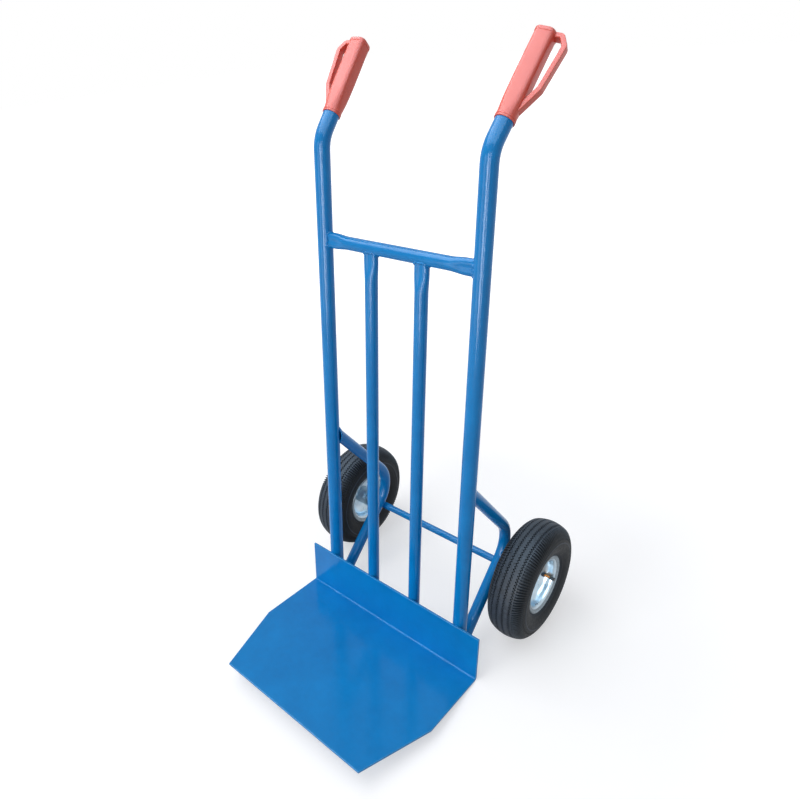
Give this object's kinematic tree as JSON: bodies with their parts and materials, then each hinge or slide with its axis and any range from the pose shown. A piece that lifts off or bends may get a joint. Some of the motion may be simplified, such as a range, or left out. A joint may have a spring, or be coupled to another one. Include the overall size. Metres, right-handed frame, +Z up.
{
  "type": "sack truck",
  "caption": "Two-wheeled sack truck with a welded blue tube frame, folded toe plate, pneumatic wheels on a fixed axle and plastic grips with knuckle guards.",
  "frame": {"origin": "middle of the bounding box, on the floor", "axes": "+Z up; the truck faces -Y, with its wheels towards +Y; +X to the right as seen from its front"},
  "size_m": [0.5808, 0.6266, 1.1659],
  "materials": {
    "blue_paint": "gloss",
    "zinc_plate": "satin",
    "bearing_steel": "polished",
    "tyre_rubber": "matte",
    "tube_rubber": "matte",
    "grip_plastic": "satin",
    "valve_brass": "satin",
    "cap_plastic": "matte"
  },
  "bodies": {
    "frame": {"toe_plate": "blue_paint", "upper_crossbar": "blue_paint", "axle": "blue_paint", "axle_stop_collars": "blue_paint", "right_upright": "blue_paint", "right_inner_bar": "blue_paint", "right_axle_strut": "blue_paint", "left_upright": "blue_paint", "left_inner_bar": "blue_paint", "left_axle_strut": "blue_paint", "inner_washers": "zinc_plate", "outer_washers": "zinc_plate", "split_pins": "zinc_plate", "wheel_bearings": "bearing_steel", "right_grip": "grip_plastic", "left_grip": "grip_plastic"},
    "right_wheel": {"right_wheel_tyre": "tyre_rubber", "right_wheel_inner_tube": "tube_rubber", "right_wheel_outer_rim_half": "zinc_plate", "right_wheel_inner_rim_half": "zinc_plate", "right_wheel_hub": "zinc_plate", "right_wheel_rim_bolts": "zinc_plate", "right_wheel_rim_nuts": "zinc_plate", "right_wheel_valve_stem": "valve_brass", "right_wheel_valve_grommet": "tube_rubber", "right_wheel_valve_cap": "cap_plastic"},
    "left_wheel": {"left_wheel_tyre": "tyre_rubber", "left_wheel_inner_tube": "tube_rubber", "left_wheel_outer_rim_half": "zinc_plate", "left_wheel_inner_rim_half": "zinc_plate", "left_wheel_hub": "zinc_plate", "left_wheel_rim_bolts": "zinc_plate", "left_wheel_rim_nuts": "zinc_plate", "left_wheel_valve_stem": "valve_brass", "left_wheel_valve_grommet": "tube_rubber", "left_wheel_valve_cap": "cap_plastic"}
  },
  "joints": [
    {"name": "right_wheel_spin", "type": "hinge", "parent": "frame", "child": "right_wheel", "pos_m": [0.248, 0.18328, 0.13], "axis": [1, 0, 0], "continuous": true},
    {"name": "left_wheel_spin", "type": "hinge", "parent": "frame", "child": "left_wheel", "pos_m": [-0.248, 0.18328, 0.13], "axis": [1, 0, 0], "continuous": true}
  ]
}
